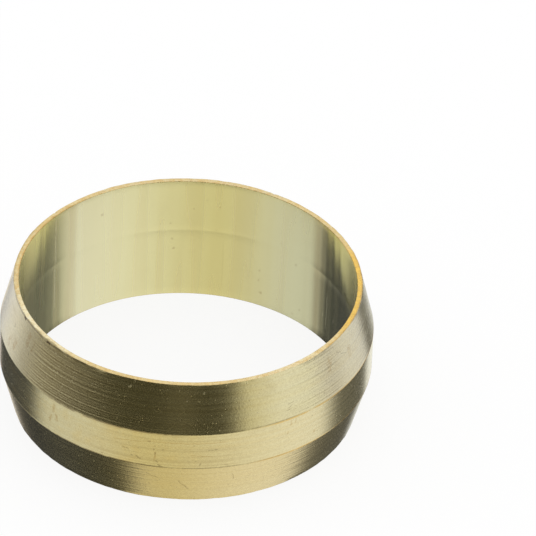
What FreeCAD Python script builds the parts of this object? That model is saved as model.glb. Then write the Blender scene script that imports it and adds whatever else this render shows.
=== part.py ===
"""Compression olive: the brass ring that seals a 22 mm copper tube in a compression fitting.

One turned piece. A plain bore slides onto the tube, a flat land runs round the middle, and a taper
falls from each side of the land to a thin end face. The nut drives one taper and the fitting's
mouth squeezes the other, so the thin ends close onto the tube. The ring stands on its lower end
face: the origin is the centre of that face and +Z runs up the bore. Millimetres throughout.
"""

import FreeCAD, Part
import os

import Sketcher

# Driving dimensions: alias, value, what it is
SIZES = [
    ("tube_diameter", 22.0, "outside diameter of the tube in the bore"),
    ("bore_clearance", 0.15, "room round the tube, on the diameter"),
    ("land_wall", 1.2, "wall thickness at the land, the thickest place"),
    ("end_wall", 0.34, "wall thickness at each end face, the thinnest place"),
    ("lower_taper_length", 3.2, "height of the lower taper, along the bore"),
    ("land_length", 2.7, "height of the flat land, along the bore"),
    ("upper_taper_length", 3.4, "height of the upper taper, along the bore"),
    ("bore_chamfer", 0.06, "lead-in at each mouth of the bore"),
    ("end_edge_radius", 0.05, "rounding outside each end face"),
    ("land_edge_radius", 0.1, "rounding where a taper meets the land"),
]

# Corners of the half section, counted round from the foot of the bore. Each starts one line.
CORNERS = range(6)
LOWER_MOUTH, LOWER_RIM, LAND_FOOT, LAND_HEAD, UPPER_RIM, UPPER_MOUTH = CORNERS
END_FACES = (LOWER_MOUTH, UPPER_RIM)
STRAIGHT_WALLS = (LAND_FOOT, UPPER_MOUTH)

# Dimensions of the half section: name, direction, from corner, to corner, what drives it
DIMENSIONS = [
    ("lower_end_wall", "DistanceX", LOWER_MOUTH, LOWER_RIM, "Sizes.end_wall"),
    ("upper_end_wall", "DistanceX", UPPER_MOUTH, UPPER_RIM, "Sizes.end_wall"),
    ("land_wall", "DistanceX", LOWER_MOUTH, LAND_FOOT, "Sizes.land_wall"),
    ("lower_taper_length", "DistanceY", LOWER_RIM, LAND_FOOT, "Sizes.lower_taper_length"),
    ("land_length", "DistanceY", LAND_FOOT, LAND_HEAD, "Sizes.land_length"),
    ("upper_taper_length", "DistanceY", LAND_HEAD, UPPER_RIM, "Sizes.upper_taper_length"),
]
BORE_RADIUS = "(Sizes.tube_diameter + Sizes.bore_clearance) / 2"

NODE = "olive"
FULL_TURN = 360
SAME_SIZE = 1e-6
EDGES_A_PAIR = 2

# How a sketch names a line's two ends, its horizontal axis and its origin
START, END = 1, 2
HORIZONTAL_AXIS = -1
ORIGIN = (-1, 1)


def make_sheet(doc):
    """The spreadsheet that holds every driving dimension under its alias."""
    sheet = doc.addObject("Spreadsheet::Sheet", "Sizes")
    for row, (alias, value, meaning) in enumerate(SIZES, start=1):
        sheet.set(f"A{row}", alias)
        sheet.set(f"B{row}", str(value))
        sheet.set(f"C{row}", meaning)
        sheet.setAlias(f"B{row}", alias)
    doc.recompute()
    return sheet


def section_corners(sheet):
    """The half section's corners, as distance from the axis and height."""
    bore = (sheet.tube_diameter + sheet.bore_clearance) / 2
    rim = bore + sheet.end_wall
    land = bore + sheet.land_wall
    foot = sheet.lower_taper_length
    head = foot + sheet.land_length
    top = head + sheet.upper_taper_length
    places = [(bore, 0), (rim, 0), (land, foot), (land, head), (rim, top), (bore, top)]
    return [FreeCAD.Vector(across, up, 0) for across, up in places]


def drive(sketch, name, constraint, expression):
    """Adds a dimension to the sketch, names it and ties it to the spreadsheet."""
    index = sketch.addConstraint(constraint)
    sketch.renameConstraint(index, name)
    sketch.setExpression(f"Constraints.{name}", expression)


def draw_half_section(body, corners):
    """The closed outline that turns into the ring, on the plane through its axis."""
    sketch = body.newObject("Sketcher::SketchObject", "HalfSection")
    plane = next(f for f in body.Origin.OriginFeatures if f.Role == "XZ_Plane")
    sketch.AttachmentSupport = (plane, [""])
    sketch.MapMode = "FlatFace"

    after = [*CORNERS[1:], CORNERS[0]]
    for corner in CORNERS:
        sketch.addGeometry(Part.LineSegment(corners[corner], corners[after[corner]]), False)
    for corner in CORNERS:
        sketch.addConstraint(Sketcher.Constraint("Coincident", corner, END, after[corner], START))
    for line in END_FACES:
        sketch.addConstraint(Sketcher.Constraint("Horizontal", line))
    for line in STRAIGHT_WALLS:
        sketch.addConstraint(Sketcher.Constraint("Vertical", line))
    foot = Sketcher.Constraint("PointOnObject", LOWER_MOUTH, START, HORIZONTAL_AXIS)
    sketch.addConstraint(foot)

    bore = Sketcher.Constraint("DistanceX", *ORIGIN, LOWER_MOUTH, START, corners[LOWER_MOUTH].x)
    drive(sketch, "bore_radius", bore, BORE_RADIUS)
    for name, direction, first, second, expression in DIMENSIONS:
        span = corners[second] - corners[first]
        size = span.x if direction == "DistanceX" else span.y
        dimension = Sketcher.Constraint(direction, first, START, second, START, size)
        drive(sketch, name, dimension, expression)
    return sketch


def turn(body, sketch):
    """Turns the half section about the vertical axis into the plain ring."""
    ring = body.newObject("PartDesign::Revolution", "TurnedRing")
    ring.Profile = sketch
    ring.ReferenceAxis = (sketch, ["V_Axis"])
    ring.Angle = FULL_TURN
    return ring


def round_edges(feature, radius):
    """Names of the feature's circular edges of that radius."""
    return [
        f"Edge{number}"
        for number, edge in enumerate(feature.Shape.Edges, start=1)
        if edge.Curve.TypeId == "Part::GeomCircle" and abs(edge.Curve.Radius - radius) < SAME_SIZE
    ]


def dress(body, kind, name, base, corner, size_property, alias):
    """Chamfers or fillets the two edges as far out as a corner. Each broken edge is a new face."""
    body.Document.recompute()
    feature = body.newObject(kind, name)
    feature.Base = (base, round_edges(base, corner.x))
    feature.setExpression(size_property, f"Sizes.{alias}")
    body.Document.recompute()
    if len(feature.Shape.Faces) != len(base.Shape.Faces) + EDGES_A_PAIR:
        raise RuntimeError(f"{name} didn't break both edges")
    return feature


def make_olive(doc, sheet):
    """The whole ring: turned, then its six corners broken as the tools leave them."""
    body = doc.addObject("PartDesign::Body", "Olive")
    body.Label = NODE
    corners = section_corners(sheet)
    ring = turn(body, draw_half_section(body, corners))
    mouths = dress(body, "PartDesign::Chamfer", "BoreLeadIns", ring,
                   corners[LOWER_MOUTH], "Size", "bore_chamfer")
    rims = dress(body, "PartDesign::Fillet", "EndEdges", mouths,
                 corners[LOWER_RIM], "Radius", "end_edge_radius")
    dress(body, "PartDesign::Fillet", "LandEdges", rims,
          corners[LAND_FOOT], "Radius", "land_edge_radius")
    return body


def check(doc, body):
    """Stops the build unless every object is sound and the olive is one solid."""
    for item in doc.Objects:
        if {"Invalid", "Error"} & set(item.State):
            raise RuntimeError(f"{item.Name} failed: {item.State}")
    shape = body.Shape
    if shape.isNull() or not shape.isValid() or len(shape.Solids) != 1:
        raise RuntimeError("the olive isn't one sound solid")
    box = shape.optimalBoundingBox()
    print(f"{NODE}: {len(shape.Faces)} faces, {shape.Volume:.2f} mm3, "
          f"{box.XLength:.3f} x {box.YLength:.3f} x {box.ZLength:.3f} mm")


def main():
    doc = FreeCAD.newDocument("CompressionOlive")
    sheet = make_sheet(doc)
    body = make_olive(doc, sheet)
    check(doc, body)
    os.makedirs("parts", exist_ok=True)
    body.Shape.exportStep(os.path.join("parts", f"{body.Label}.step"))


main()
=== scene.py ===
# %% [markdown]
# # A brass compression olive
# An olive is the soft ring that seals a copper tube in a compression fitting. The tube slides through
# its plain bore, the nut pushes on one taper, and the fitting's mouth squeezes the other. This lesson
# models the ring as one turned section and gives each of its surfaces the finish that its tool leaves.

# %% Load the frame
import math
import random

import bmesh
import bpy
from mathutils import Matrix, Vector, noise


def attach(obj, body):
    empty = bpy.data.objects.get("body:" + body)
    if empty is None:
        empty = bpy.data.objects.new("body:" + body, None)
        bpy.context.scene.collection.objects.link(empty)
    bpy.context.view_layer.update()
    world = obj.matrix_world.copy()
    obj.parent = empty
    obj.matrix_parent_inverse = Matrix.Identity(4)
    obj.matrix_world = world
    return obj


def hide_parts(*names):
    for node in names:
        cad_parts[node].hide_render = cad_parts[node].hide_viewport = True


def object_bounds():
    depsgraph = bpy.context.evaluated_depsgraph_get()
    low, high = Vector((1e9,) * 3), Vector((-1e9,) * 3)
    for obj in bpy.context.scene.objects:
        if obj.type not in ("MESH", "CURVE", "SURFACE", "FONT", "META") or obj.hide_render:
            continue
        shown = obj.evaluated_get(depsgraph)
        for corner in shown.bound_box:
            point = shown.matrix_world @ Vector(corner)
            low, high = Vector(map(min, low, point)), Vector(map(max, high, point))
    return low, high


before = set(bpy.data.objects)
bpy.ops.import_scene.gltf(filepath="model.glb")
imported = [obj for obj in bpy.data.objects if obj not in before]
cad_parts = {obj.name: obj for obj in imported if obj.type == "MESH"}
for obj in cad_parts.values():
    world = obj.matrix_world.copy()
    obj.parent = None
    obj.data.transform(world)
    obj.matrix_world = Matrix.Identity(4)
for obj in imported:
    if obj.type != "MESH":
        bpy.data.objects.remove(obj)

MM = 0.001
cad_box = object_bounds()

# %% [markdown]
# ## Sizes
# The CAD ring is already the right size, so the finer ring takes its measures from it. The smallest
# distance from the axis is the bore. The land reaches half the width of the CAD ring's box, less a
# micrometre, so that the finer ring stays inside. The points on the land give its height. Only the wall
# at the ends is written down, because the broken edges hide it in the mesh.

# %% Measure the CAD ring
SAME = 0.001 * MM
END_WALL = 0.34 * MM


def from_axis(point):
    return math.hypot(point.x, point.y)


cad_points = [vertex.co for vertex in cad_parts["olive"].data.vertices]
bore_radius = min(map(from_axis, cad_points))
rim_radius = bore_radius + END_WALL
half_widths = [abs(corner[axis]) for corner in cad_box for axis in (0, 1)]
land_radius = min(half_widths) - SAME
ring_height = max(point.z for point in cad_points)
on_land = [point.z for point in cad_points if from_axis(point) > land_radius]
land_foot, land_head = min(on_land), max(on_land)
print(f"bore {bore_radius / MM:.3f}, rim {rim_radius / MM:.3f}, land {land_radius / MM:.3f} mm out")
print(f"land from {land_foot / MM:.2f} to {land_head / MM:.2f} of {ring_height / MM:.2f} mm")

# %% [markdown]
# ## The section
# A turned part is a flat outline carried round an axis, so the outline is all that has to be drawn. It
# has six main corners. Between them go the small things that a lathe leaves and that catch the light: a
# groove under the upper rim, where the parting tool pushed up a lip, a groove where the land meets the
# lower taper, and a fine ring in the bore.

# %% Draw the half section
LIP_TOP = 0.02 * MM
LIP_BOTTOM = 0.07 * MM
LIP_END = 0.18 * MM
LIP_DEPTH = 0.008 * MM
FOOT_GROOVE = 0.07 * MM
FOOT_GROOVE_END = 0.17 * MM
FOOT_GROOVE_DEPTH = 0.007 * MM
STEP_HEIGHT = 5.3 * MM
STEP_HALF = 0.07 * MM
STEP_DEPTH = 0.005 * MM


def along(start, end, distance, inward=0.0):
    """The point that far from start towards end, and then that far towards the axis."""
    point = start + (end - start).normalized() * distance
    return point - Vector((inward, 0, 0))


lower_mouth, upper_mouth = Vector((bore_radius, 0, 0)), Vector((bore_radius, 0, ring_height))
lower_rim, upper_rim = Vector((rim_radius, 0, 0)), Vector((rim_radius, 0, ring_height))
foot, head = Vector((land_radius, 0, land_foot)), Vector((land_radius, 0, land_head))
step = Vector((bore_radius, 0, STEP_HEIGHT))

outline = [
    lower_mouth,
    lower_rim,
    foot,
    along(foot, head, FOOT_GROOVE, FOOT_GROOVE_DEPTH),
    along(foot, head, FOOT_GROOVE_END),
    head,
    along(upper_rim, head, LIP_END),
    along(upper_rim, head, LIP_BOTTOM, LIP_DEPTH),
    along(upper_rim, head, LIP_TOP),
    upper_rim,
    upper_mouth,
    along(step, upper_mouth, STEP_HALF),
    along(step, upper_mouth, 0, -STEP_DEPTH),
    along(step, lower_mouth, STEP_HALF),
]
section = bmesh.new()
drawn = [section.verts.new(point) for point in outline]
section.faces.new(drawn)
print(f"section: {len(drawn)} points")

# %% [markdown]
# A vertex bevel rounds the corners that a finger would feel. It wants a face to work on, so the outline
# is filled first and the face is thrown away afterwards.

# %% Break the corners
LAND_EDGE = 0.030 * MM
END_EDGE = 0.018 * MM
MOUTH_EDGE = 0.045 * MM
LOWER_MOUTH_EDGE = 0.030 * MM


def break_corners(places, size, segments):
    points = [point for point in section.verts if any((point.co - place).length < SAME for place in places)]
    bmesh.ops.bevel(section, geom=points, offset=size, offset_type="OFFSET", affect="VERTICES",
                    segments=segments, profile=0.5, material=-1)


break_corners([head], LAND_EDGE, segments=3)
break_corners([lower_rim, upper_rim], END_EDGE, segments=6)
break_corners([upper_mouth], MOUTH_EDGE, segments=6)
break_corners([lower_mouth], LOWER_MOUTH_EDGE, segments=6)
bmesh.ops.delete(section, geom=section.faces[:], context="FACES_ONLY")
print(f"broken corners: {len(section.verts)} points")

# %% [markdown]
# A lathe tool moves along while the work turns, so each taper is really a very fine thread. The long
# edges of the outline are cut into short ones, and every third, fourth or fifth of the new points is
# drawn in, which makes those lines as real shape. On each wall the first line is the deepest. The extra
# points also keep the shading of narrow edges from spreading over wide walls.

# %% Rule the walls with tool lines
UPPER_CUTS = 58
UPPER_LINE = 0.0056 * MM
LOWER_CUTS = 36
LOWER_LINE = 0.0034 * MM
LAND_CUTS = 24
LAND_LINE = 0.0005 * MM
BORE_CUTS = 8
END_CUTS = 3
LONG_EDGE = 1.0 * MM
FIRST_LINE = 1.3
ABOVE_LAND = 2
SHALLOW, DEEP = 0.5, 1.0
FEEDS = (3, 3, 4, 4, 5)
chance = random.Random(22)


def rule_wall(edge, cuts, depth, to_groove=0):
    """Cuts an edge up and draws some of the new points in. The first of them is to_groove points up."""
    made = bmesh.ops.subdivide_edges(section, edges=[edge], cuts=cuts)
    points = [item for item in made["geom_inner"] if isinstance(item, bmesh.types.BMVert)]
    share = FIRST_LINE
    for point in sorted(points, key=lambda item: item.co.z):
        if to_groove == 0:
            point.co.x -= depth * share
            share = chance.uniform(SHALLOW, DEEP)
            to_groove = chance.choice(FEEDS)
        to_groove -= 1


for edge in sorted(section.edges, key=lambda item: (item.verts[0].co + item.verts[1].co).z):
    first, second = edge.verts[0].co.copy(), edge.verts[1].co.copy()
    if abs(first.z - second.z) < SAME:
        rule_wall(edge, END_CUTS, 0)
    elif edge.calc_length() < LONG_EDGE:
        continue
    elif max(first.x, second.x) < rim_radius:
        rule_wall(edge, BORE_CUTS, 0)
    elif abs(first.x - second.x) < SAME:
        rule_wall(edge, LAND_CUTS, LAND_LINE)
    elif min(first.z, second.z) < land_foot:
        rule_wall(edge, LOWER_CUTS, LOWER_LINE)
    else:
        rule_wall(edge, UPPER_CUTS, UPPER_LINE, to_groove=ABOVE_LAND)
print(f"ruled walls: {len(section.verts)} points")

# %% [markdown]
# Later the ring is unrolled into a flat map, and the map has to know how far round the section each
# point lies. That is easy to note now, by walking once round the outline. The spin copies the note to
# every turn of the ring.

# %% Note the way round the section
way = section.verts.layers.float.new("way round")
here = min(section.verts, key=lambda point: (round(point.co.x / MM, 4), point.co.z))
came_by = max(here.link_edges, key=lambda side: side.other_vert(here).co.z)
way_length = 0.0
for _ in range(len(section.verts)):
    here[way] = way_length
    came_by = next(side for side in here.link_edges if side != came_by)
    way_length += came_by.calc_length()
    here = came_by.other_vert(here)
print(f"way round the section: {way_length / MM:.2f} mm")

# %% [markdown]
# A lathe turns the work against a tool that stands still. Here the outline itself turns: a spin carries
# it once round the axis. The last step meets the first, so the points there are merged, and the normals
# are worked out again, because a spin can turn a shape inside out.

# %% Turn the section round the axis
SEGMENTS = 512
MERGE = 0.0001 * MM
bmesh.ops.spin(section, geom=section.edges[:], cent=(0, 0, 0), axis=(0, 0, 1), angle=math.tau,
               steps=SEGMENTS, use_merge=True, use_duplicate=False)
bmesh.ops.remove_doubles(section, verts=section.verts[:], dist=MERGE)
bmesh.ops.recalc_face_normals(section, faces=section.faces[:])
print(f"turned ring: {len(section.faces)} faces")

# %% [markdown]
# ## The rims
# Parting a thin ring off a bar leaves its rims a little uneven: the wall is thicker here and thinner
# there, and small nicks break the upper rim's outer edge. A smooth noise moves the outer points of both
# rims in, out and a little towards the middle, and a few points of the upper rim are pressed down.

# %% Make the rims uneven
RIM_REACH = 0.2 * MM
RIM_WAVE = 0.028 * MM
RIM_WAVES_A_MM = 0.45
RIM_BEAD = 0.020 * MM
RIM_BEADS_A_MM = 1.6
RIM_DIP = 0.03 * MM
DIP_SHIFT = Vector((7, 0, 0))
NICK_DEPTH = 0.07 * MM
NICK_HALF_ANGLE = 0.8
NICK_SHARE = 0.5
NICKS = [-66.1, -50.9, 38.0, 96.0, 151.0, -128.0]


def angle_of(point):
    """Degrees round the axis from the front, to the right."""
    return math.degrees(math.atan2(point.x, -point.y))


pressed = 0
for point in section.verts:
    reach = min(point.co.z, ring_height - point.co.z)
    if reach > RIM_REACH:
        continue
    share = max(0.0, from_axis(point.co) - bore_radius) / END_WALL
    share = min(1.0, share) * (1 - reach / RIM_REACH)
    wave = RIM_WAVE * noise.noise(point.co / MM * RIM_WAVES_A_MM)
    wave += RIM_BEAD * noise.noise(point.co / MM * RIM_BEADS_A_MM)
    dip = RIM_DIP * share * max(0.0, noise.noise(point.co / MM * RIM_BEADS_A_MM + DIP_SHIFT))
    move = 1 + wave * share / rim_radius
    point.co.x *= move
    point.co.y *= move
    point.co.z += math.copysign(dip, ring_height / 2 - point.co.z)
    away = min(abs(angle_of(point.co) - nick) for nick in NICKS)
    if away < NICK_HALF_ANGLE and share > NICK_SHARE and point.co.z > ring_height / 2:
        point.co.z -= NICK_DEPTH * share * (1 - away / NICK_HALF_ANGLE)
        pressed += 1
print(f"rims: {pressed} points pressed into nicks")

# %% [markdown]
# Smooth shading bends light over every edge. That is right for the walls, but the lips and the groove
# at the land's foot are real corners, so edges that turn by more than a set angle are kept crisp.

# %% Keep the corners crisp
CRISP = math.radians(18)
crisp = [edge for edge in section.edges if edge.calc_face_angle(0.0) > CRISP]
for edge in crisp:
    edge.smooth = False
print(f"crisp edges: {len(crisp)}")

# %% [markdown]
# ## Four finishes on one ring
# The walls of the ring were made by different tools, so they get four materials. Each face is told
# apart by where it lies. The map for baking unrolls the ring like a label: the angle runs along it, and
# the way round the section runs up it. Half a turn fills the lower half of the square and the other
# half turn the upper one.

# %% Sort the faces and unroll the ring
FINISHES = ["turned_taper", "drawn_land", "drawn_bore", "parted_end"]
TAPER, LAND, BORE, END = range(len(FINISHES))
BORE_SKIN = 0.02 * MM
MAP_MARGIN = 0.006


def finish_at(point):
    """Which finish a place on the ring has."""
    radius = from_axis(point)
    reach = min(point.z, ring_height - point.z)
    if reach < MOUTH_EDGE and bore_radius < radius < rim_radius - LIP_DEPTH:
        return END
    if reach < LIP_TOP:
        return END
    if radius < bore_radius + BORE_SKIN:
        return BORE
    if land_foot < point.z < land_head:
        return LAND
    return TAPER


def turn_of(point):
    """Share of a full turn, with a half at the front."""
    return angle_of(point) / 360 + 0.5


unrolled = section.loops.layers.uv.new("OFBake")
for face in section.faces:
    face.smooth = True
    middle = face.calc_center_median()
    face.material_index = finish_at(middle)
    middle_turn = turn_of(middle)
    row = 0 if middle_turn < 0.5 else 1
    farthest = max(loop.vert[way] for loop in face.loops)
    for loop in face.loops:
        turn = turn_of(loop.vert.co)
        turn += round(middle_turn - turn)
        up = loop.vert[way]
        if farthest - up > way_length / 2:
            up += way_length
        across = MAP_MARGIN + (turn * 2 - row) * (1 - 2 * MAP_MARGIN)
        up = MAP_MARGIN + up / way_length * (1 - 2 * MAP_MARGIN)
        loop[unrolled].uv = (across, (row + up) / 2)
triangles = sum(len(face.verts) - 2 for face in section.faces)
print(f"ring: {len(section.faces)} faces, {triangles} triangles")

# %% [markdown]
# The bmesh becomes a mesh and the mesh an object. The ring rides on the part's only body and stands in
# for the CAD ring.

# %% Make the ring an object
mesh = bpy.data.meshes.new("olive_ring")
section.to_mesh(mesh)
section.free()
ring = bpy.data.objects.new("olive_ring", mesh)
bpy.context.scene.collection.objects.link(ring)
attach(ring, "root")
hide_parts("olive")
counts = [sum(face.material_index == index for face in mesh.polygons) for index in range(len(FINISHES))]
print("faces:", dict(zip(FINISHES, counts)))

# %% [markdown]
# ## Nodes
# Materials are trees of nodes. These helpers add a node, set its values or links by the names of its
# sockets, and give back the socket that matters, so that each material below reads as a list of what it
# is made of.


# %% Helpers for node trees
def add(tree, kind, inputs=(), **settings):
    made = tree.nodes.new("ShaderNode" + kind)
    for name, value in settings.items():
        setattr(made, name, value)
    for name, value in dict(inputs).items():
        if isinstance(value, bpy.types.NodeSocket):
            tree.links.new(value, made.inputs[name])
        else:
            made.inputs[name].default_value = value
    return made


def math_of(tree, operation, first, second=0.0):
    return add(tree, "Math", {0: first, 1: second}, operation=operation).outputs[0]


def times(tree, first, second):
    return math_of(tree, "MULTIPLY", first, second)


def stronger(tree, first, second):
    return math_of(tree, "MAXIMUM", first, second)


def total(tree, *values):
    amount = values[0]
    for value in values[1:]:
        amount = math_of(tree, "ADD", amount, value)
    return amount


def centred(tree, value, size):
    """Turns a 0 to 1 value into one that swings about 0 by that size each way."""
    return times(tree, math_of(tree, "SUBTRACT", value, 0.5), 2 * size)


def ramp(tree, value, low, high, start=0.0, end=1.0):
    """A smooth way from start, at low, to end, at high. Low may be the larger of the two."""
    inputs = {"Value": value, "From Min": low, "From Max": high, "To Min": start, "To Max": end}
    return add(tree, "MapRange", inputs, interpolation_type="SMOOTHSTEP").outputs[0]


def band(tree, value, low, low_blur, high, high_blur):
    """One between low and high, fading to nothing outside them."""
    return times(tree, ramp(tree, value, low - low_blur, low + low_blur),
                 ramp(tree, value, high + high_blur, high - high_blur))


def mix(tree, share, first, second):
    return add(tree, "Mix", {"Factor": share, "A": first, "B": second}, data_type="RGBA").outputs["Result"]


def painted(tree, colour, layers):
    """Lays colours over a colour. A layer is a colour, its mask and the most that it covers."""
    for other, mask, share in layers:
        colour = mix(tree, times(tree, mask, share), colour, other)
    return colour


def noise_at(tree, place, scale, detail, roughness=0.5):
    inputs = {"Vector": place, "Scale": scale, "Detail": detail, "Roughness": roughness}
    return add(tree, "TexNoise", inputs).outputs[0]


# %% [markdown]
# A node group is a tree that other trees can place, with named sockets for what goes in and what comes
# out. Effects that several walls share are groups, built once.


# %% Helpers for node groups
def new_group(name, inputs, outputs):
    """A node group with its named sockets: the group, what comes in and what goes out."""
    group = bpy.data.node_groups.new(name, "ShaderNodeTree")
    for label, value in inputs.items():
        socket = group.interface.new_socket(label, in_out="INPUT", socket_type="NodeSocketFloat")
        socket.default_value = value
    for label, kind in outputs.items():
        group.interface.new_socket(label, in_out="OUTPUT", socket_type="NodeSocket" + kind)
    return group, group.nodes.new("NodeGroupInput").outputs, group.nodes.new("NodeGroupOutput").inputs


def group_of(tree, group, **inputs):
    """Places a group in a tree. Its sockets are named by words, with _ for a space."""
    named = {name.replace("_", " "): value for name, value in inputs.items()}
    return add(tree, "Group", named, node_tree=group).outputs


# %% [markdown]
# ## Where on the ring
# Turned lines, scratches and stains all need to know where on the ring they are. This group turns
# Object coordinates into millimetres, an angle from the front, a height and a distance from the axis.

# %% Group: place on the ring
PER_METRE = 1000.0
place_group, _, place_out = new_group(
    "place on the ring", {}, {"Point": "Vector", "Angle": "Float", "Height": "Float", "Radius": "Float"})
own_place = add(place_group, "TexCoord").outputs["Object"]
point_mm = add(place_group, "VectorMath", {0: own_place, "Scale": PER_METRE}, operation="SCALE").outputs[0]
split = add(place_group, "SeparateXYZ", {0: point_mm}).outputs
toward_front = times(place_group, split["Y"], -1.0)
turned = math_of(place_group, "ARCTAN2", split["X"], toward_front)
flat = add(place_group, "VectorMath", {0: point_mm, 1: (1, 1, 0)}, operation="MULTIPLY").outputs[0]
for label, socket in {
    "Point": point_mm,
    "Angle": math_of(place_group, "DEGREES", turned),
    "Height": split["Z"],
    "Radius": add(place_group, "VectorMath", {0: flat}, operation="LENGTH").outputs["Value"],
}.items():
    place_group.links.new(socket, place_out[label])
print("group:", place_group.name)

# %% [markdown]
# A tool line runs far round the ring but is very narrow, so it is a noise that is squeezed in one
# direction. Across is the measure that the lines are stacked in: height on the walls, distance from the
# axis on the end faces. Most of a noise lies near its middle, so a ramp spreads that part over the
# whole range.

# %% Group: tool lines
NOISE_LOW, NOISE_HIGH = 0.25, 0.75
lines_group, lines_in, lines_out = new_group(
    "tool lines", {"Across": 0.0, "Lines a mm": 6.0, "Run": 8.0}, {"Lines": "Float"})
spot = group_of(lines_group, place_group)
split = add(lines_group, "SeparateXYZ", {0: spot["Point"]}).outputs
squeezed = add(lines_group, "CombineXYZ", {
    "X": math_of(lines_group, "DIVIDE", split["X"], lines_in["Run"]),
    "Y": math_of(lines_group, "DIVIDE", split["Y"], lines_in["Run"]),
    "Z": times(lines_group, lines_in["Across"], lines_in["Lines a mm"]),
}).outputs[0]
ruled = noise_at(lines_group, squeezed, scale=1.0, detail=1.0)
lines_group.links.new(ramp(lines_group, ruled, NOISE_LOW, NOISE_HIGH), lines_out["Lines"])
print("group:", lines_group.name)

# %% [markdown]
# Specks of swarf, pores and dust are round dots. A Voronoi texture gives each cell one, and a random
# colour of the cell decides which cells keep theirs. Tarnish is a soft cloud with a threshold.

# %% Groups: specks and tarnish
DOT_OUTSIDE, DOT_INSIDE = 0.42, 0.18
specks_group, specks_in, specks_out = new_group("specks", {"Size": 0.3, "Share": 0.1}, {"Mask": "Float"})
spot = group_of(specks_group, place_group)
cell_scale = math_of(specks_group, "DIVIDE", 1.0, specks_in["Size"])
cells = add(specks_group, "TexVoronoi", {"Vector": spot["Point"], "Scale": cell_scale}).outputs
dot = ramp(specks_group, cells["Distance"], DOT_OUTSIDE, DOT_INSIDE)
lot = add(specks_group, "SeparateColor", {0: cells["Color"]}).outputs[0]
kept = math_of(specks_group, "LESS_THAN", lot, specks_in["Share"])
specks_group.links.new(times(specks_group, dot, kept), specks_out["Mask"])

tarnish_group, tarnish_in, tarnish_out = new_group(
    "tarnish", {"Size": 3.0, "Clear": 0.5, "Full": 0.75}, {"Mask": "Float"})
spot = group_of(tarnish_group, place_group)
cloud_scale = math_of(tarnish_group, "DIVIDE", 1.0, tarnish_in["Size"])
cloud = noise_at(tarnish_group, spot["Point"], cloud_scale, detail=4.0, roughness=0.6)
cloud = ramp(tarnish_group, cloud, tarnish_in["Clear"], tarnish_in["Full"])
tarnish_group.links.new(cloud, tarnish_out["Mask"])
print("groups:", specks_group.name, "and", tarnish_group.name)

# %% [markdown]
# Two more things show on several walls. The grain is a fine even roughness of the metal. Along the edges
# run lines of painted highlight and painted shade, in stretches, so one group marks a stretch of an
# edge: near a height, between two angles, and broken up by a noise.

# %% Groups: grain and edge line
grain_group, grain_in, grain_out = new_group("grain", {"Size": 0.1}, {"Grain": "Float"})
spot = group_of(grain_group, place_group)
grain_scale = math_of(grain_group, "DIVIDE", 1.0, grain_in["Size"])
fine_noise = noise_at(grain_group, spot["Point"], grain_scale, detail=2.0, roughness=0.6)
grain_group.links.new(ramp(grain_group, fine_noise, NOISE_LOW, NOISE_HIGH), grain_out["Grain"])

STRETCH_FADE = 12.0
LINE_CORE = 0.3
PATCHY_LOW, PATCHY_HIGH = 0.32, 0.52
PATCHY_LEAST = 0.25
edge_group, edge_in, edge_out = new_group(
    "edge line", {"Edge": 5.0, "Width": 0.08, "From": -90.0, "To": 90.0}, {"Mask": "Float"})
spot = group_of(edge_group, place_group)
off_edge = math_of(edge_group, "ABSOLUTE", math_of(edge_group, "SUBTRACT", spot["Height"], edge_in["Edge"]))
near = ramp(edge_group, off_edge, edge_in["Width"], times(edge_group, edge_in["Width"], LINE_CORE))
after = ramp(edge_group, math_of(edge_group, "SUBTRACT", spot["Angle"], edge_in["From"]), 0.0, STRETCH_FADE)
before = ramp(edge_group, math_of(edge_group, "SUBTRACT", edge_in["To"], spot["Angle"]), 0.0, STRETCH_FADE)
patchy = noise_at(edge_group, spot["Point"], scale=1.4, detail=3.0)
patchy = ramp(edge_group, patchy, PATCHY_LOW, PATCHY_HIGH, PATCHY_LEAST, 1.0)
stretch = times(edge_group, times(edge_group, after, before), patchy)
edge_group.links.new(times(edge_group, near, stretch), edge_out["Mask"])
print("groups:", grain_group.name, "and", edge_group.name)

# %% [markdown]
# A scratch is a short line at one place. The group measures how far a point lies along and across that
# line, bends the line by a bow, and lets a little noise fray it. Broken says how much of it the tool or
# the tray skipped.

# %% Group: scratch
FRAY_WIDTHS = 2.0
CORE_OUTSIDE, CORE_INSIDE = 1.6, 0.4
FULL_LENGTH = 0.6
SKIP_NONE, SKIP_ALL = 0.60, 0.44
scratch_group, scratch_in, scratch_out = new_group(
    "scratch",
    {"Around": 0.0, "Height": 5.0, "Slope": 0.0, "Length": 1.0, "Width": 0.08, "Bow": 0.0, "Broken": 1.0},
    {"Mask": "Float"})


def scratch_math(operation, first, second=0.0):
    return math_of(scratch_group, operation, first, second)


def scratch_share(first, second):
    return times(scratch_group, first, second)


spot = group_of(scratch_group, place_group)
away = scratch_math("RADIANS", scratch_math("SUBTRACT", spot["Angle"], scratch_in["Around"]))
away = scratch_share(away, spot["Radius"])
rise = scratch_math("SUBTRACT", spot["Height"], scratch_in["Height"])
slope = scratch_math("RADIANS", scratch_in["Slope"])
cosine, sine = scratch_math("COSINE", slope), scratch_math("SINE", slope)
lengthwise = scratch_math("ADD", scratch_share(away, cosine), scratch_share(rise, sine))
crosswise = scratch_math("SUBTRACT", scratch_share(rise, cosine), scratch_share(away, sine))
bend = scratch_share(scratch_share(lengthwise, lengthwise), scratch_in["Bow"])
fray = noise_at(scratch_group, spot["Point"], scale=3.0, detail=1.0)
fray = scratch_share(scratch_math("SUBTRACT", fray, 0.5), scratch_share(scratch_in["Width"], FRAY_WIDTHS))
crosswise = scratch_math("ABSOLUTE", scratch_math("ADD", scratch_math("SUBTRACT", crosswise, bend), fray))
lengthwise = scratch_math("ABSOLUTE", lengthwise)
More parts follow.
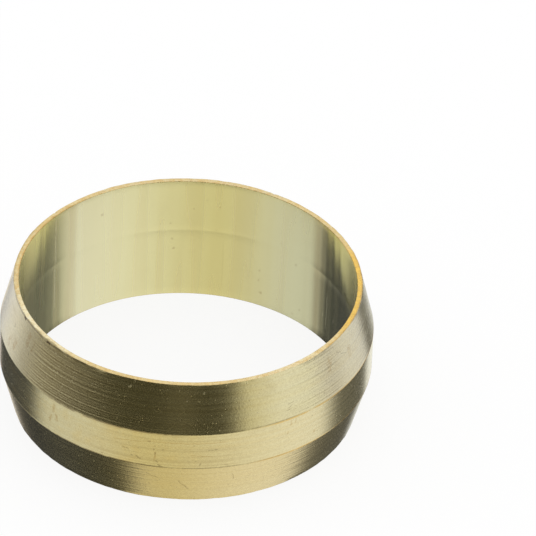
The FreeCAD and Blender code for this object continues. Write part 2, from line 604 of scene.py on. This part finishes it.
half_width = scratch_share(scratch_in["Width"], 0.5)
half_length = scratch_share(scratch_in["Length"], 0.5)
core = ramp(scratch_group, crosswise, scratch_share(half_width, CORE_OUTSIDE),
            scratch_share(half_width, CORE_INSIDE))
ends = ramp(scratch_group, lengthwise, half_length, scratch_share(half_length, FULL_LENGTH))
skip = noise_at(scratch_group, spot["Point"], scale=7.0, detail=1.0)
skip = scratch_share(ramp(scratch_group, skip, SKIP_NONE, SKIP_ALL), scratch_in["Broken"])
kept = scratch_math("SUBTRACT", 1.0, skip)
scratch_group.links.new(scratch_share(scratch_share(core, ends), kept), scratch_out["Mask"])
print("group:", scratch_group.name)

# %% [markdown]
# ## Starting and ending a finish
# All four finishes are bare metal under a thin film of cutting oil, which is the shader's coat. On top
# of that come a colour, a roughness and a relief that change over the wall. Scratches and edge lines
# are placed one by one from lists, and the strongest at a point is what shows there.

# %% Helpers for the four finishes
OIL_FILM = 0.35
OIL_ROUGHNESS = 0.2


def new_finish(name):
    material = bpy.data.materials.new(name)
    material.use_nodes = True
    tree = material.node_tree
    shader = tree.nodes["Principled BSDF"]
    shader.inputs["Metallic"].default_value = 1.0
    shader.inputs["Coat Weight"].default_value = OIL_FILM
    shader.inputs["Coat Roughness"].default_value = OIL_ROUGHNESS
    mesh.materials.append(material)
    return tree, shader


def end_finish(tree, shader, colour, rough, relief_mm):
    tree.links.new(colour, shader.inputs["Base Color"])
    tree.links.new(rough, shader.inputs["Roughness"])
    bump = add(tree, "Bump", {"Height": relief_mm, "Distance": MM, "Strength": 1.0}).outputs[0]
    tree.links.new(bump, shader.inputs["Normal"])
    print(f"finish: {mesh.materials[-1].name}, {len(tree.nodes)} nodes")


def scratches(tree, marks, broken):
    """The strongest scratch at each point. A mark is around, height, slope, length, width, bow."""
    strongest = 0.0
    for around, height, slope, length, width, bow in marks:
        mark = group_of(tree, scratch_group, Around=around, Height=height, Slope=slope,
                        Length=length, Width=width, Bow=bow, Broken=broken)["Mask"]
        strongest = stronger(tree, strongest, mark)
    return strongest


def edge_lines(tree, stretches):
    """The strongest edge line at each point. A stretch is a height, a width, two angles and a share."""
    strongest = 0.0
    for height, width, start, end, share in stretches:
        line = group_of(tree, edge_group, Edge=height, Width=width, From=start, To=end)["Mask"]
        strongest = stronger(tree, strongest, times(tree, line, share))
    return strongest


# %% [markdown]
# The clean metal has one colour where a tool has cut it and a paler one where it was only drawn. Old
# skin is tarnished, drops have dried brown, and dirt is nearly black. The gold lines along the land's
# edges on the right and behind are painted highlights. The dark lines along them in front, in the
# groove at the land's foot and under the lip on the left are painted shade in the black of dirt.

# %% Colours and edges
CLEAN_TURNED = (0.875, 0.76, 0.425, 1)
CLEAN_LAND = (0.895, 0.785, 0.445, 1)
CLEAN_DRAWN = (0.845, 0.79, 0.475, 1)
BRIGHT = (0.97, 0.88, 0.62, 1)
GOLD = (0.90, 0.68, 0.27, 1)
TARNISH = (0.52, 0.40, 0.19, 1)
HIGHLIGHT_GOLD = (0.84, 0.57, 0.19, 1)
BROWN = (0.58, 0.40, 0.15, 1)
DIRT_AND_SHADE = (0.18, 0.12, 0.05, 1)
GROOVE_TOP, GROOVE_FLOOR = 0.45, 0.10

FOOT_MM = land_foot / MM
HEAD_MM = land_head / MM
LIP_MM = (ring_height - LIP_BOTTOM) / MM
# painted highlights: gold lines along the land's edges
PAINTED_EDGE_HIGHLIGHTS = [
    (FOOT_MM, 0.10, 18, 140, 1.0),
    (HEAD_MM, 0.10, 20, 150, 1.0),
    (FOOT_MM, 0.06, -178, -110, 1.0),
    (HEAD_MM, 0.06, -178, -100, 1.0),
]
# painted shade: dark lines along the land's edges, in the foot groove and under the lip
PAINTED_EDGE_SHADE = [
    (FOOT_MM + 0.02, 0.080, -52, 0, 1.0),
    (FOOT_MM + 0.02, 0.050, -10, 40, 0.55),
    (LIP_MM, 0.07, -86, -28, 1.0),
    (HEAD_MM + 0.07, 0.06, 8, 44, 0.8),
    (HEAD_MM - 0.04, 0.10, -54, 4, 1.0),
]
print("edges:", len(PAINTED_EDGE_HIGHLIGHTS), "golden and", len(PAINTED_EDGE_SHADE), "shaded stretches")

# %% [markdown]
# ## The turned tapers
# The tapers were cut with a pointed tool at a fast feed and then lay loose in a tray. So they have
# small scratches, two pits where the rim was knocked, bright flecks of swarf and the stains of dried
# drops. Each is a short line that the scratch group draws, so a list of places is enough.

# %% Marks on the tapers
TAPER_MARKS = [
    (-71.5, 7.94, 80, 0.36, 0.12, 0.0),
    (57.8, 8.40, -30, 0.60, 0.06, 0.6),
    (60.2, 8.10, -20, 0.60, 0.06, -0.8),
    (35.0, 6.95, 10, 0.60, 0.05, 0.5),
    (34.4, 6.72, 14, 0.55, 0.05, 0.5),
    (33.5, 6.55, 8, 0.50, 0.05, 0.5),
    (0.2, 1.55, -50, 1.50, 0.09, 0.10),
    (-9.0, 2.22, -24, 1.15, 0.06, 0.05),
    (16.0, 2.15, -80, 0.85, 0.06, -0.6),
]
TAPER_PITS = [
    (-66.1, 9.19, 0, 0.36, 0.14, 0.0),
    (-50.9, 9.19, 0, 0.44, 0.16, 0.0),
]
TAPER_FLECKS = [
    (-17.7, 8.74, 15, 0.34, 0.08, 0.0),
    (-17.4, 8.77, 75, 0.26, 0.08, 0.0),
    (0.8, 8.22, 80, 0.12, 0.09, 0.0),
    (6.3, 8.76, 70, 0.20, 0.10, 0.0),
]
TAPER_STAINS = [
    (-60.8, 8.20, 85, 1.4, 0.30, 0.0),
    (-57.6, 8.00, 80, 1.0, 0.20, 0.0),
    (-67.9, 6.90, 85, 1.0, 0.35, 0.0),
    (-72.5, 6.60, 85, 0.9, 0.30, 0.0),
    (52.5, 8.10, 80, 1.2, 0.35, 0.0),
    (64.0, 7.80, 85, 1.0, 0.30, 0.0),
]
print("tapers:", len(TAPER_MARKS + TAPER_PITS + TAPER_FLECKS + TAPER_STAINS), "marks")

# %% [markdown]
# Fine lines run round the tapers, some deeper than others, and the metal between shows a little of its
# grain. The deep lines are already cut as shape, so the material only adds the finest ones, with tiny
# raised specks that glint.

# %% Material: turned taper
TAPER_ROUGH = {"wall": 0.22, "line": 0.02, "stain": 0.04, "speck": 0.09, "fleck": 0.13}
TAPER_RELIEF = {"line": 0.0018, "grain": 0.0009, "scratch": -0.002, "speck": 0.0035, "fleck": 0.004}
tree, shader = new_finish("turned_taper")
spot = group_of(tree, place_group)
fine = group_of(tree, lines_group, Across=spot["Height"], Lines_a_mm=6.5, Run=60.0)["Lines"]
coarse = group_of(tree, lines_group, Across=spot["Height"], Lines_a_mm=1.6, Run=60.0)["Lines"]
stain = group_of(tree, tarnish_group, Size=2.4, Clear=0.56, Full=0.82)["Mask"]
grain = group_of(tree, grain_group, Size=0.13)["Grain"]
dust = group_of(tree, specks_group, Size=0.2, Share=0.006)["Mask"]
speck = group_of(tree, specks_group, Size=0.11, Share=0.05)["Mask"]
marks = scratches(tree, TAPER_MARKS, broken=0.5)
pits = scratches(tree, TAPER_PITS, broken=0.0)
flecks = scratches(tree, TAPER_FLECKS, broken=0.0)
drops = scratches(tree, TAPER_STAINS, broken=0.7)
# dust specks together with the painted shade lines along the edges
dust_and_edge_shade = stronger(tree, times(tree, dust, 0.7), edge_lines(tree, PAINTED_EDGE_SHADE))

colour = painted(tree, CLEAN_TURNED, [
    (GOLD, coarse, 0.16),
    (BRIGHT, times(tree, fine, grain), 0.28),
    (TARNISH, ramp(tree, fine, GROOVE_TOP, GROOVE_FLOOR), 0.09),
    (TARNISH, grain, 0.36),
    (TARNISH, stain, 0.28),
    (BROWN, drops, 0.55),
    # painted highlights along the land's edges
    (HIGHLIGHT_GOLD, edge_lines(tree, PAINTED_EDGE_HIGHLIGHTS), 0.9),
    (BRIGHT, flecks, 0.60),
    # dust and the painted shade lines along the edges
    (DIRT_AND_SHADE, dust_and_edge_shade, 0.55),
    (DIRT_AND_SHADE, marks, 0.42),
    (DIRT_AND_SHADE, pits, 0.95),
])
rough = total(tree, TAPER_ROUGH["wall"], centred(tree, fine, TAPER_ROUGH["line"]),
              times(tree, stain, TAPER_ROUGH["stain"]), times(tree, speck, TAPER_ROUGH["speck"]),
              times(tree, flecks, TAPER_ROUGH["fleck"]))
relief = total(tree, centred(tree, fine, TAPER_RELIEF["line"]), centred(tree, grain, TAPER_RELIEF["grain"]),
               times(tree, marks, TAPER_RELIEF["scratch"]), times(tree, speck, TAPER_RELIEF["speck"]),
               times(tree, flecks, TAPER_RELIEF["fleck"]))
end_finish(tree, shader, colour, rough, relief)

# %% [markdown]
# ## The land
# The land is the skin of the drawn tube that the olive was cut from, only wiped over by the tool. It
# has scratches from handling, a long scribed line and two shorter ones, and a few stains.

# %% Marks on the land
LAND_MARKS = [
    (-17.5, 4.34, -14, 0.55, 0.07, 0.0),
    (-15.4, 3.88, -30, 0.22, 0.12, 0.0),
    (-13.4, 3.79, -29, 0.50, 0.09, 0.0),
    (-10.3, 5.18, 5, 0.30, 0.10, 0.0),
    (-8.7, 4.57, 70, 0.20, 0.10, 0.0),
    (-8.4, 4.26, 80, 0.24, 0.09, 0.0),
    (-7.9, 3.62, -36, 0.32, 0.09, 0.0),
    (-6.7, 3.33, -19, 0.46, 0.10, 0.0),
    (-5.9, 4.62, 30, 0.18, 0.10, 0.0),
    (9.2, 4.69, 0, 0.75, 0.06, 0.0),
    (5.4, 3.54, 60, 0.24, 0.08, 0.0),
    (13.5, 3.36, -28, 0.48, 0.06, 0.0),
]
LAND_LINES = [
    (2.0, 5.21, 0.3, 5.6, 0.055, 0.0),
    (-15.0, 5.04, 6.5, 3.2, 0.05, 0.0),
    (6.0, 4.19, -6.3, 1.9, 0.05, 0.0),
]
LAND_STAINS = [
    (-8.4, 4.0, 85, 0.9, 0.10, 0.2),
    (-43.3, 5.2, 85, 0.9, 0.20, 0.0),
    (-42.2, 4.55, 80, 0.7, 0.22, 0.0),
    (-44.6, 4.30, 80, 0.8, 0.16, 0.0),
    (34.4, 5.55, 85, 0.5, 0.12, 0.0),
    (33.3, 4.82, 85, 0.3, 0.10, 0.0),
    (36.0, 5.60, 80, 0.5, 0.10, 0.0),
    (43.5, 4.01, 85, 0.3, 0.10, 0.0),
]
print("land:", len(LAND_MARKS + LAND_LINES + LAND_STAINS), "marks")

# %% [markdown]
# The land's lines are finer than the tapers' and hold a little tarnish, most of it in front. Towards
# the left the skin turns golden in small clouds.

# %% Material: drawn land
LAND_ROUGH = {"wall": 0.225, "line": 0.02, "stain": 0.04, "speck": 0.06}
LAND_RELIEF = {"line": 0.0011, "grain": 0.0008, "scratch": -0.002, "speck": 0.0025}
tree, shader = new_finish("drawn_land")
spot = group_of(tree, place_group)
fine = group_of(tree, lines_group, Across=spot["Height"], Lines_a_mm=6.0, Run=30.0)["Lines"]
thread = group_of(tree, lines_group, Across=spot["Height"], Lines_a_mm=9.0, Run=30.0)["Lines"]
stain = group_of(tree, tarnish_group, Size=1.7, Clear=0.55, Full=0.80)["Mask"]
golden = group_of(tree, tarnish_group, Size=0.9, Clear=0.42, Full=0.75)["Mask"]
grain = group_of(tree, grain_group, Size=0.13)["Grain"]
dust = group_of(tree, specks_group, Size=0.18, Share=0.006)["Mask"]
speck = group_of(tree, specks_group, Size=0.12, Share=0.05)["Mask"]
marks = scratches(tree, LAND_MARKS, broken=0.5)
blurs = scratches(tree, LAND_STAINS, broken=0.5)
scribed = scratches(tree, LAND_LINES, broken=0.3)
# dust specks together with the painted shade lines along the edges
dust_and_edge_shade = stronger(tree, times(tree, dust, 0.6), edge_lines(tree, PAINTED_EDGE_SHADE))
to_left = ramp(tree, spot["Angle"], 30, -20)
in_front = band(tree, spot["Angle"], -28, 10, 16.5, 8.5)

colour = painted(tree, CLEAN_LAND, [
    (GOLD, fine, 0.20),
    (GOLD, times(tree, golden, to_left), 0.45),
    (TARNISH, ramp(tree, thread, GROOVE_TOP, GROOVE_FLOOR), ramp(tree, in_front, 0.0, 1.0, 0.08, 0.28)),
    (TARNISH, grain, 0.28),
    (TARNISH, stain, 0.14),
    (BROWN, stronger(tree, blurs, scribed), 0.62),
    # painted highlights along the land's edges
    (HIGHLIGHT_GOLD, edge_lines(tree, PAINTED_EDGE_HIGHLIGHTS), 0.9),
    # dust and the painted shade lines along the edges
    (DIRT_AND_SHADE, dust_and_edge_shade, 0.66),
    (DIRT_AND_SHADE, marks, 0.45),
])
rough = total(tree, LAND_ROUGH["wall"], centred(tree, fine, LAND_ROUGH["line"]),
              times(tree, stain, LAND_ROUGH["stain"]), times(tree, speck, LAND_ROUGH["speck"]))
relief = total(tree, centred(tree, fine, LAND_RELIEF["line"]), centred(tree, grain, LAND_RELIEF["grain"]),
               times(tree, marks, LAND_RELIEF["scratch"]), times(tree, speck, LAND_RELIEF["speck"]))
end_finish(tree, shader, colour, rough, relief)

# %% [markdown]
# ## The bore
# The bore was drawn over a mandrel, so its streaks run up and down. Small dark pores, one long line and
# a few bright streaks are placed as the scratches are.

# %% Marks in the bore
BORE_DOTS = [
    (-148.0, 7.52, 80, 0.26, 0.15, 0.0),
    (154.6, 2.87, 80, 0.22, 0.14, 0.0),
    (154.8, 2.09, 80, 0.20, 0.13, 0.0),
    (153.9, 1.09, 80, 0.26, 0.15, 0.0),
    (139.7, 4.57, 80, 0.20, 0.13, 0.0),
    (137.2, 1.09, 80, 0.18, 0.12, 0.0),
    (-173.8, 4.57, 80, 0.20, 0.14, 0.0),
    (-174.6, 3.80, 80, 0.20, 0.14, 0.0),
]
BORE_LINES = [(168.2, 2.90, 90, 5.0, 0.05, 0.0)]
BORE_STREAKS = [
    (-126.9, 7.2, 90, 4.4, 0.10, 0.0),
    (-126.6, 3.4, 90, 3.6, 0.08, 0.0),
    (123.2, 2.6, 90, 3.4, 0.10, 0.0),
    (118.3, 2.33, 80, 0.34, 0.16, 0.0),
    (125.7, 2.02, 80, 0.26, 0.14, 0.0),
]
print("bore:", len(BORE_DOTS + BORE_LINES + BORE_STREAKS), "marks")

# %% [markdown]
# For the streaks a noise is squeezed the other way round: fine across the wall and long in height. The
# back is paler. At both sides a stripe is painted darker and broken up by the streaks, a painted shade
# that deepens the dark reflections there. The left side is a deeper yellow, and the right side is
# smoother than the rest.

# %% Material: drawn bore
PALE_DRAWN = (0.955, 0.90, 0.52, 1)
SIDE_DRAWN = (0.60, 0.57, 0.18, 1)
STREAKS_A_MM = 1.5
STREAK_RUN = 14.0
BORE_ROUGH = {"wall": 0.27, "streak": 0.015, "bright streak": 0.07, "smooth": -0.07}
BORE_RELIEF = {"streak": 0.003, "grain": 0.0002, "bright streak": 0.002}
tree, shader = new_finish("drawn_bore")
spot = group_of(tree, place_group)
squeeze = (STREAKS_A_MM, STREAKS_A_MM, 1 / STREAK_RUN)
drawn_out = add(tree, "VectorMath", {0: spot["Point"], 1: squeeze}, operation="MULTIPLY").outputs[0]
streak = ramp(tree, noise_at(tree, drawn_out, scale=1.0, detail=0.0), NOISE_LOW, NOISE_HIGH)
stain = group_of(tree, tarnish_group, Size=3.5, Clear=0.55, Full=0.85)["Mask"]
grain = group_of(tree, grain_group, Size=0.10)["Grain"]
dust = group_of(tree, specks_group, Size=0.22, Share=0.006)["Mask"]
dots = scratches(tree, BORE_DOTS, broken=0.0)
lines = scratches(tree, BORE_LINES, broken=0.5)
bright = scratches(tree, BORE_STREAKS, broken=0.4)

paler_back = ramp(tree, math_of(tree, "ABSOLUTE", spot["Angle"]), 143, 173)
# painted shade: darker stripes at both sides, where the bore's reflection is dark
shade_left = band(tree, spot["Angle"], -136, 4, -126, 4)
shade_right = band(tree, spot["Angle"], 123.5, 2.5, 131.5, 2.5)
side_shade = times(tree, stronger(tree, shade_left, shade_right), ramp(tree, streak, 0.0, 1.0, 0.6, 1.0))
left_side = band(tree, spot["Angle"], -133, 5, -96, 4)
smooth = band(tree, spot["Angle"], 102, 4, 131, 5)
colour = painted(tree, CLEAN_DRAWN, [
    (PALE_DRAWN, paler_back, 1.0),
    (TARNISH, side_shade, 0.48),
    (SIDE_DRAWN, left_side, 0.28),
    (GOLD, streak, 0.07),
    (TARNISH, stain, 0.08),
    (BRIGHT, bright, 0.3),
    (TARNISH, stronger(tree, dots, dust), 0.36),
    (TARNISH, lines, 0.22),
])
rough = total(tree, BORE_ROUGH["wall"], centred(tree, streak, BORE_ROUGH["streak"]),
              times(tree, bright, BORE_ROUGH["bright streak"]), times(tree, smooth, BORE_ROUGH["smooth"]))
relief = total(tree, centred(tree, streak, BORE_RELIEF["streak"]),
               centred(tree, grain, BORE_RELIEF["grain"]),
               times(tree, bright, BORE_RELIEF["bright streak"]))
end_finish(tree, shader, colour, rough, relief)

# %% [markdown]
# ## The end faces
# The parting tool tears the soft brass a little, so the end faces are rougher and sparkle. Fresh metal
# is more golden than the drawn skin. The rim's reflections are painted into its colour: painted
# highlights make it pale in some stretches, a painted golden reflection fills the right, and along its
# outer edge lie a painted dark reflection on the left and painted golden ones in front and on the right.
# The inner edge has a painted golden reflection on the left. Bands of angles and of distance from the
# axis mark those places.

# %% Places on the end faces
EDGE_SHARE = 0.14 * MM
MOUTH_SHARE = 0.16 * MM
EDGE_WANDER = 0.07
tree, shader = new_finish("parted_end")
spot = group_of(tree, place_group)


def between_angles(start, end, fade):
    return band(tree, spot["Angle"], start, fade, end, fade)


wander = group_of(tree, grain_group, Size=0.7)["Grain"]
radius = total(tree, spot["Radius"], centred(tree, wander, EDGE_WANDER))
at_mouth = ramp(tree, radius, (bore_radius + MOUTH_SHARE) / MM, bore_radius / MM)
at_rim = ramp(tree, radius, (rim_radius - EDGE_SHARE) / MM, rim_radius / MM)
# bands for the rim's painted highlights and painted reflections
highlight_left = between_angles(-78, -40, 12)
highlight_right = between_angles(24, 56, 8)
at_front = between_angles(-42, 26, 12)
at_left = between_angles(-140, -88, 8)
at_right = between_angles(63, 110, 6)
edge_left = stronger(tree, times(tree, between_angles(-122, -38, 8), 0.55), between_angles(-68, -42, 6))
edge_right = between_angles(51, 110, 6)
far_back = ramp(tree, math_of(tree, "ABSOLUTE", spot["Angle"]), 135, 165)
print("end faces:", len(tree.nodes), "nodes for their places")

# %% [markdown]
# The torn surface is a rough noise with fine rings from the tool. Its sparkle is a coarse grain of darker
# gold, weaker where the painted highlight makes the rim pale.

# %% Material: parted end
CLEAN_PARTED = (0.85, 0.705, 0.375, 1)
PALE_PARTED = (1.0, 0.92, 0.62, 1)
GOLD_PARTED = (0.81, 0.57, 0.21, 1)
MOUTH_GOLD = (0.66, 0.42, 0.12, 1)
RIGHT_REFLECTION_GOLD = (1.0, 0.64, 0.11, 1)
BACK_PALE = (0.79, 0.70, 0.43, 1)
RIM_DARK_REFLECTION = (0.40, 0.34, 0.17, 1)
END_ROUGH = {"face": 0.30, "torn": 0.05}
END_RELIEF = {"ring": 0.0010, "torn": 0.009}
rings = group_of(tree, lines_group, Across=spot["Radius"], Lines_a_mm=8.0, Run=3.0)["Lines"]
torn = ramp(tree, noise_at(tree, spot["Point"], scale=3.5, detail=3.0, roughness=0.7), 0.40, 0.68)
dust = group_of(tree, specks_group, Size=0.16, Share=0.05)["Mask"]
sparkle = ramp(tree, group_of(tree, grain_group, Size=0.2)["Grain"], 0.35, 0.75)
patch = group_of(tree, tarnish_group, Size=0.8, Clear=0.46, Full=0.60)["Mask"]
gold_share = ramp(tree, highlight_left, 0.0, 1.0, 0.45, 0.24)
sparkle_share = ramp(tree, highlight_left, 0.0, 1.0, 0.36, 0.22)

colour = painted(tree, CLEAN_PARTED, [
    # the angle bands paint the rim's highlights and its golden and dark reflections
    (PALE_PARTED, highlight_left, 1.0),
    (PALE_PARTED, highlight_right, 0.70),
    (BACK_PALE, far_back, 0.8),
    (GOLD_PARTED, stronger(tree, torn, rings), gold_share),
    (GOLD_PARTED, patch, gold_share),
    (MOUTH_GOLD, times(tree, at_mouth, at_left), 0.9),
    (RIM_DARK_REFLECTION, times(tree, at_rim, edge_left), 0.95),
    (MOUTH_GOLD, times(tree, at_rim, at_front), 0.20),
    (RIGHT_REFLECTION_GOLD, at_right, 0.92),
    (MOUTH_GOLD, times(tree, at_rim, edge_right), 0.95),
    (MOUTH_GOLD, sparkle, sparkle_share),
    (TARNISH, dust, 0.4),
])
rough = total(tree, END_ROUGH["face"], centred(tree, torn, END_ROUGH["torn"]))
relief = total(tree, centred(tree, rings, END_RELIEF["ring"]), centred(tree, torn, END_RELIEF["torn"]))
end_finish(tree, shader, colour, rough, relief)

# %% [markdown]
# ## The studio
# A shiny part shows its surroundings more than itself, so its light is drawn as what it would see: a
# white table, a white wall on each side, a dim screen on the left, a ceiling, a pale backdrop, and the
# dark room behind the camera. The world holds them as soft-edged fields of directions, given in degrees
# round from the camera and up from level.

# %% World
scene = bpy.context.scene
scene.view_settings.view_transform = "Standard"
world = bpy.data.worlds.new("studio")
scene.world = world
world.use_nodes = True
world.cycles.sampling_method = "NONE"
sky = world.node_tree
sky.nodes.clear()
parts = add(sky, "SeparateXYZ", {0: add(sky, "TexCoord").outputs["Generated"]}).outputs
toward_camera = times(sky, parts["Y"], -1.0)
turn_angle = math_of(sky, "DEGREES", math_of(sky, "ARCTAN2", parts["X"], toward_camera))
rise_angle = math_of(sky, "DEGREES", math_of(sky, "ARCSINE", parts["Z"]))


def field(left, left_blur, right, right_blur, low, high, end_blur):
    """A soft-edged field of directions. Each blur is how far its edge fades to either side."""
    return times(sky, band(sky, turn_angle, left, left_blur, right, right_blur),
                 band(sky, rise_angle, low, end_blur, high, end_blur))


print("world:", world.name)

# %% [markdown]
# Brass is yellow, so a white studio needs no strong colours. The walls are a little blue, as daylight
# is, and the part of the table in front of the ring is warm, because it is lit by light that the brass
# throws back.

# %% Colours of the studio
ROOM = (0.052, 0.051, 0.033, 1)
ROOM_LEFT = (0.045, 0.048, 0.052, 1)
ROOM_RIGHT = (0.10, 0.10, 0.09, 1)
ROOM_FRONT = (0.094, 0.090, 0.062, 1)
CEILING = (0.95, 0.95, 0.95, 1)
BACKDROP = (0.95, 0.95, 0.95, 1)
SCREEN = (0.175, 0.16, 0.13, 1)
LEFT_WALL = (0.83, 0.87, 1.0, 1)
RIGHT_WALL = (0.87, 0.93, 1.0, 1)
RIGHT_WARM = (0.70, 0.70, 0.57, 1)
RIGHT_FAR = (0.78, 0.83, 1.0, 1)
RIGHT_DIP = (0.69, 0.72, 0.86, 1)
TABLE = (0.88, 0.905, 0.96, 1)
TABLE_LEFT = (0.65, 0.68, 0.69, 1)
TABLE_WARM = (0.685, 0.64, 0.435, 1)
TABLE_EDGE = (0.12, 0.12, 0.12, 1)
NEAR_TABLE = (0.88, 0.86, 0.80, 1)
NEAR_TABLE_WARM = (0.665, 0.605, 0.39, 1)
BACK_RIGHT = (0.97, 1.0, 1.0, 1)
BACK_LEFT = (1.0, 0.94, 0.85, 1)
BACK_SHADE = (0.15, 0.14, 0.12, 1)
ALL = 200

table_colour = mix(sky, ramp(sky, turn_angle, -110, 38), TABLE_LEFT, TABLE)
warm_share = field(-48, 31, 27, 62, -ALL, ALL, 1)
table_colour = mix(sky, warm_share, table_colour, TABLE_WARM)
near_colour = mix(sky, warm_share, NEAR_TABLE, NEAR_TABLE_WARM)
right_colour = mix(sky, ramp(sky, turn_angle, 35, 63), RIGHT_WARM, RIGHT_WALL)
right_colour = mix(sky, ramp(sky, turn_angle, 80, 112), right_colour, RIGHT_FAR)
right_colour = mix(sky, field(85.5, 8.5, 104.5, 8.5, -ALL, ALL, 1), right_colour, RIGHT_DIP)
print("table, near table and right wall:", len(sky.nodes), "nodes")

# %% [markdown]
# The fields are laid one over the other, from the dark room forward. Only glossy rays see them. For all
# other rays the world is an even white, which gives the floor a soft shadow.

# %% Fields of the studio
WHITE = (1, 1, 1, 1)
seen = mix(sky, ramp(sky, turn_angle, -40, -120), ROOM, ROOM_LEFT)
seen = mix(sky, ramp(sky, turn_angle, 60, 120), seen, ROOM_RIGHT)
for colour, place in [
    (ROOM_FRONT, field(-9.5, 6, 6, 2.5, -ALL, ALL, 1)),
    (CEILING, field(-ALL, 1, ALL, 1, 26, ALL, 8)),
    (SCREEN, field(-112, 13, -64.5, 26, -31.5, 40, 1.6)),
    (LEFT_WALL, field(-ALL, 1, -111.5, 23.5, -31.5, 40, 1.6)),
    (right_colour, field(32, 8, 136.5, 3.5, -30, 40, 2.2)),
    (BACKDROP, field(145, 8, ALL, 1, 0, 60, 6)),
    (BACKDROP, field(-ALL, 1, -158, 8, 0, 60, 6)),
    (TABLE_EDGE, field(71, 6, 102, 8, -31, -21.5, 1.5)),
    (table_colour, field(-103, 7.5, -46, 12, -28, -20, 1.5)),
    (table_colour, field(-103, 7.5, 101.5, 8.5, -49, -27, 1.5)),
    (near_colour, field(-46, 11, 107, 6, -ALL, -49, 1.5)),
    (BACK_RIGHT, field(149, 2.5, ALL, 1, -41.4, -31.5, 2.6)),
    (BACK_SHADE, field(-166, 3, -151, 4, -57, -42.0, 1.5)),
    (BACK_LEFT, field(-ALL, 1, -164, 4, -57, -30.5, 2.6)),
]:
    seen = mix(sky, place, seen, colour)

rays = add(sky, "LightPath").outputs
even = add(sky, "Background", {"Color": WHITE, "Strength": 1.0}).outputs[0]
studio = add(sky, "Background", {"Color": seen, "Strength": 1.0}).outputs[0]
both = add(sky, "MixShader", {0: rays["Is Glossy Ray"], 1: even, 2: studio}).outputs[0]
add(sky, "OutputWorld", {"Surface": both})
print("world:", len(sky.nodes), "nodes")

# %% [markdown]
# The floor is a white sheet. Most of its white is its own glow, so that it is as white as the
# background, and the rest is lit, so that the ring still shades it.

# %% Floor
FLOOR_RADIUS = 1.2
FLOOR_SIDES = 96
FLOOR_GAP = 0.01 * MM
FLOOR_GLOW = 0.86
floor_mesh = bpy.data.meshes.new("floor")
sheet = bmesh.new()
bmesh.ops.create_circle(sheet, cap_ends=True, segments=FLOOR_SIDES, radius=FLOOR_RADIUS)
sheet.to_mesh(floor_mesh)
sheet.free()
floor = bpy.data.objects.new("floor", floor_mesh)
floor.location.z = -FLOOR_GAP
floor.visible_glossy = False
scene.collection.objects.link(floor)
paper = bpy.data.materials.new("white_sheet")
paper.use_nodes = True
tree = paper.node_tree
tree.nodes.clear()
lit = add(tree, "BsdfDiffuse", {"Color": WHITE}).outputs[0]
glow = add(tree, "Emission", {"Color": WHITE, "Strength": 1.0}).outputs[0]
white = add(tree, "MixShader", {0: FLOOR_GLOW, 1: lit, 2: glow}).outputs[0]
add(tree, "OutputMaterial", {"Surface": white})
floor_mesh.materials.append(paper)
print("floor:", 2 * FLOOR_RADIUS, "m across")

# %% [markdown]
# ## The camera
# A long lens from far away keeps the ring's two ends nearly alike. The camera looks down at the ring's
# middle, rolls a little, and is then turned so that the middle falls on its place in the picture.

# %% Camera
IMAGE_SIDE = 536
FOCAL_PIXELS = 6421
SENSOR = 36
VIEW_RISE = math.radians(36.82)
VIEW_ROLL = math.radians(-1.86)
VIEW_DISTANCE = 422.5 * MM
RING_CENTRE_PIXEL = (186.5, 336.4)

lens = bpy.data.cameras.new("camera")
lens.sensor_width = SENSOR
lens.lens = FOCAL_PIXELS / IMAGE_SIDE * SENSOR
camera = bpy.data.objects.new("camera", lens)
scene.collection.objects.link(camera)
scene.camera = camera
back = Vector((0, -math.cos(VIEW_RISE), math.sin(VIEW_RISE)))
right = Vector((1, 0, 0))
look = Matrix((right, back.cross(right), back)).transposed()
roll = Matrix.Rotation(VIEW_ROLL, 3, "Z")
across, down = (pixel - IMAGE_SIDE / 2 for pixel in RING_CENTRE_PIXEL)
aim = Vector((0, 0, -1)).rotation_difference(Vector((across, -down, -FOCAL_PIXELS))).to_matrix()
turned = look @ roll.transposed() @ aim.transposed()
stand = Vector((0, 0, ring_height / 2)) + back * VIEW_DISTANCE
camera.matrix_world = Matrix.Translation(stand) @ turned.to_4x4()
print(f"camera: {lens.lens:.1f} mm lens at {stand.length / MM:.0f} mm")
